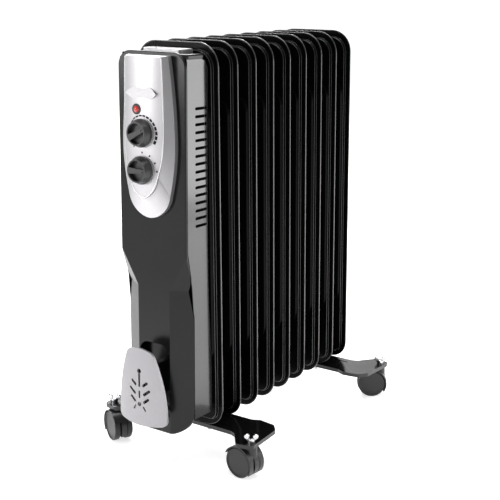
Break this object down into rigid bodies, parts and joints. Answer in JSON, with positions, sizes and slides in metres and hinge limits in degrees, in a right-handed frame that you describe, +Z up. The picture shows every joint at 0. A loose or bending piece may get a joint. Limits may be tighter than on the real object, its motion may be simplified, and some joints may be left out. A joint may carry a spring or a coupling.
{
  "type": "oil filled radiator heater",
  "caption": "Free-standing oil filled electric radiator with pressed steel fins, a leaning control housing with two knobs, a cord wrap plate and twin-wheel castors on foot brackets",
  "frame": {"origin": "middle of the footprint at floor level", "axes": "+Z up; -Y towards the controls; +X to the right of someone facing the controls; the fins stack along Y"},
  "size_m": [0.2962, 0.4728, 0.6],
  "materials": {
    "fin_black": "baked black enamel, semi gloss",
    "black_steel": "gloss black enamel",
    "cover_black": "moulded black, polished",
    "silver_lacquer": "silver lacquer with fine metal flake",
    "knob_grey": "silver lacquer",
    "lamp_red": "clear red lens",
    "chrome": "bright plated",
    "castor_black": "satin moulded nylon",
    "wheel_grey": "satin moulded nylon",
    "inner_plastic": "moulded",
    "bare_steel": "zinc plated"
  },
  "bodies": {
    "heater": {"fin_1": "fin_black", "fin_2": "fin_black", "fin_3": "fin_black", "fin_4": "fin_black", "fin_5": "fin_black", "fin_6": "fin_black", "fin_7": "fin_black", "fin_8": "fin_black", "fin_9": "fin_black", "header_collars_upper": "fin_black", "header_collars_lower": "fin_black", "heating_element_low": "bare_steel", "heating_element_high": "bare_steel", "element_flange": "bare_steel", "oil_plug": "bare_steel", "overheat_cutout": "inner_plastic", "front_cover": "cover_black", "side_panel_left": "black_steel", "side_panel_right": "black_steel", "back_plate": "bare_steel", "top_cap": "cover_black", "bottom_plate": "bare_steel", "carry_handle": "silver_lacquer", "control_panel": "silver_lacquer", "lamp_barrel": "inner_plastic", "lamp_lens": "lamp_red", "thermostat_body": "inner_plastic", "power_switch_body": "inner_plastic", "terminal_block": "inner_plastic", "cord_gland": "cover_black", "cord_wrap_hub": "cover_black", "cord_wrap_plate": "silver_lacquer", "housing_screws": "bare_steel", "foot_bracket_front": "black_steel", "foot_bracket_rear": "black_steel", "clamp_bolts": "bare_steel", "wing_nuts": "chrome", "castor_stems": "bare_steel", "castor_nuts": "chrome"},
    "thermostat_control": {"thermostat_knob": "knob_grey", "thermostat_spindle": "bare_steel"},
    "power_control": {"power_knob": "knob_grey", "power_switch_spindle": "bare_steel"},
    "swivel_front_right": {"castor_hood_front_right": "castor_black", "castor_axle_front_right": "bare_steel"},
    "roller_a_front_right": {"wheel_a_front_right": "wheel_grey"},
    "roller_b_front_right": {"wheel_b_front_right": "wheel_grey"},
    "swivel_front_left": {"castor_hood_front_left": "castor_black", "castor_axle_front_left": "bare_steel"},
    "roller_a_front_left": {"wheel_a_front_left": "wheel_grey"},
    "roller_b_front_left": {"wheel_b_front_left": "wheel_grey"},
    "swivel_rear_right": {"castor_hood_rear_right": "castor_black", "castor_axle_rear_right": "bare_steel"},
    "roller_a_rear_right": {"wheel_a_rear_right": "wheel_grey"},
    "roller_b_rear_right": {"wheel_b_rear_right": "wheel_grey"},
    "swivel_rear_left": {"castor_hood_rear_left": "castor_black", "castor_axle_rear_left": "bare_steel"},
    "roller_a_rear_left": {"wheel_a_rear_left": "wheel_grey"},
    "roller_b_rear_left": {"wheel_b_rear_left": "wheel_grey"}
  },
  "joints": [
    {"name": "thermostat_turn", "type": "hinge", "parent": "heater", "child": "thermostat_control", "pos_m": [0, -0.20342, 0.48428], "axis": [0, -0.9997, 0.0244], "range_deg": [-105, 195]},
    {"name": "power_turn", "type": "hinge", "parent": "heater", "child": "power_control", "pos_m": [0, -0.20463, 0.43479], "axis": [0, -0.9997, 0.0244], "range_deg": [0, 90]},
    {"name": "swivel_turn_front_right", "type": "hinge", "parent": "heater", "child": "swivel_front_right", "pos_m": [0.131, -0.15284, 0.04], "axis": [0, 0, 1], "continuous": true},
    {"name": "wheel_a_roll_front_right", "type": "hinge", "parent": "swivel_front_right", "child": "roller_a_front_right", "pos_m": [0.11708, -0.15137, 0.0223], "axis": [-0.1045, -0.9945, 0], "continuous": true},
    {"name": "wheel_b_roll_front_right", "type": "hinge", "parent": "swivel_front_right", "child": "roller_b_front_right", "pos_m": [0.11708, -0.15137, 0.0223], "axis": [-0.1045, -0.9945, 0], "continuous": true},
    {"name": "swivel_turn_front_left", "type": "hinge", "parent": "heater", "child": "swivel_front_left", "pos_m": [-0.125, -0.15284, 0.04], "axis": [0, 0, 1], "continuous": true},
    {"name": "wheel_a_roll_front_left", "type": "hinge", "parent": "swivel_front_left", "child": "roller_a_front_left", "pos_m": [-0.11242, -0.15897, 0.0223], "axis": [0.4384, 0.8988, 0], "continuous": true},
    {"name": "wheel_b_roll_front_left", "type": "hinge", "parent": "swivel_front_left", "child": "roller_b_front_left", "pos_m": [-0.11242, -0.15897, 0.0223], "axis": [0.4384, 0.8988, 0], "continuous": true},
    {"name": "swivel_turn_rear_right", "type": "hinge", "parent": "heater", "child": "swivel_rear_right", "pos_m": [0.131, 0.21816, 0.04], "axis": [0, 0, 1], "continuous": true},
    {"name": "wheel_a_roll_rear_right", "type": "hinge", "parent": "swivel_rear_right", "child": "roller_a_rear_right", "pos_m": [0.11913, 0.21074, 0.0223], "axis": [0.5299, -0.848, 0], "continuous": true},
    {"name": "wheel_b_roll_rear_right", "type": "hinge", "parent": "swivel_rear_right", "child": "roller_b_rear_right", "pos_m": [0.11913, 0.21074, 0.0223], "axis": [0.5299, -0.848, 0], "continuous": true},
    {"name": "swivel_turn_rear_left", "type": "hinge", "parent": "heater", "child": "swivel_rear_left", "pos_m": [-0.125, 0.21816, 0.04], "axis": [0, 0, 1], "continuous": true},
    {"name": "wheel_a_roll_rear_left", "type": "hinge", "parent": "swivel_rear_left", "child": "roller_a_rear_left", "pos_m": [-0.12843, 0.20459, 0.0223], "axis": [0.9694, -0.2453, 0], "continuous": true},
    {"name": "wheel_b_roll_rear_left", "type": "hinge", "parent": "swivel_rear_left", "child": "roller_b_rear_left", "pos_m": [-0.12843, 0.20459, 0.0223], "axis": [0.9694, -0.2453, 0], "continuous": true}
  ]
}
